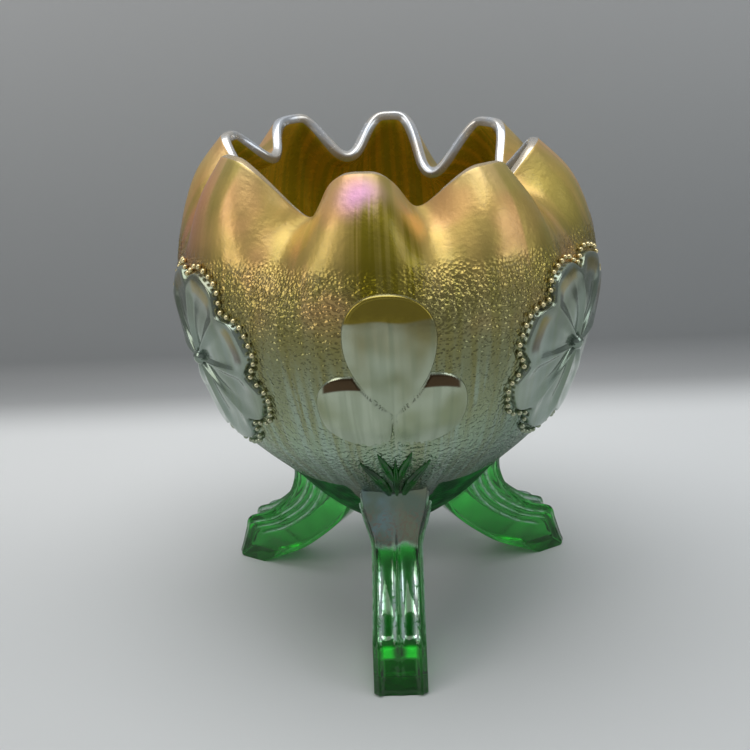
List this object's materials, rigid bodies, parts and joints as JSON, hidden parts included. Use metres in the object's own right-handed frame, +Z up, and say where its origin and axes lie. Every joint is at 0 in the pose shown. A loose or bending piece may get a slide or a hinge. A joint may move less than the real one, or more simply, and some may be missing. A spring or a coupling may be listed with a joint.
{
  "type": "footed glass rose bowl",
  "caption": "Egg-shaped glass rose bowl with a crimped scalloped rim, raised flowers with beaded borders, trefoils and curled feet.",
  "frame": {"origin": "on the table, at the centre of the bowl's outline", "axes": "+Z up along the bowl's axis, -Y towards the front foot, +X to the right seen from the front"},
  "size_m": [0.113, 0.1136, 0.1342],
  "materials": {
    "coated_wall": "green glass under a satin gold to silver-green iridescent coating, stippled on the belly",
    "green_glass": "clear polished emerald green",
    "silver_relief": "smooth silvery aqua iridescent coating",
    "gold_beads": "smooth pale gold iridescent coating",
    "dark_leaf": "polished deep green"
  },
  "bodies": {
    "root": {"bowl_wall": "coated_wall", "foot_front": "green_glass", "foot_right": "green_glass", "foot_left": "green_glass", "flower_right": "silver_relief", "flower_back": "silver_relief", "flower_left": "silver_relief", "flower_button_right": "silver_relief", "flower_button_back": "silver_relief", "flower_button_left": "silver_relief", "bead_border_right": "gold_beads", "bead_border_back": "gold_beads", "bead_border_left": "gold_beads", "trefoil_front": "silver_relief", "trefoil_right": "silver_relief", "trefoil_left": "silver_relief", "leaf_fan_front": "dark_leaf", "leaf_fan_right": "dark_leaf", "leaf_fan_left": "dark_leaf"}
  },
  "joints": []
}
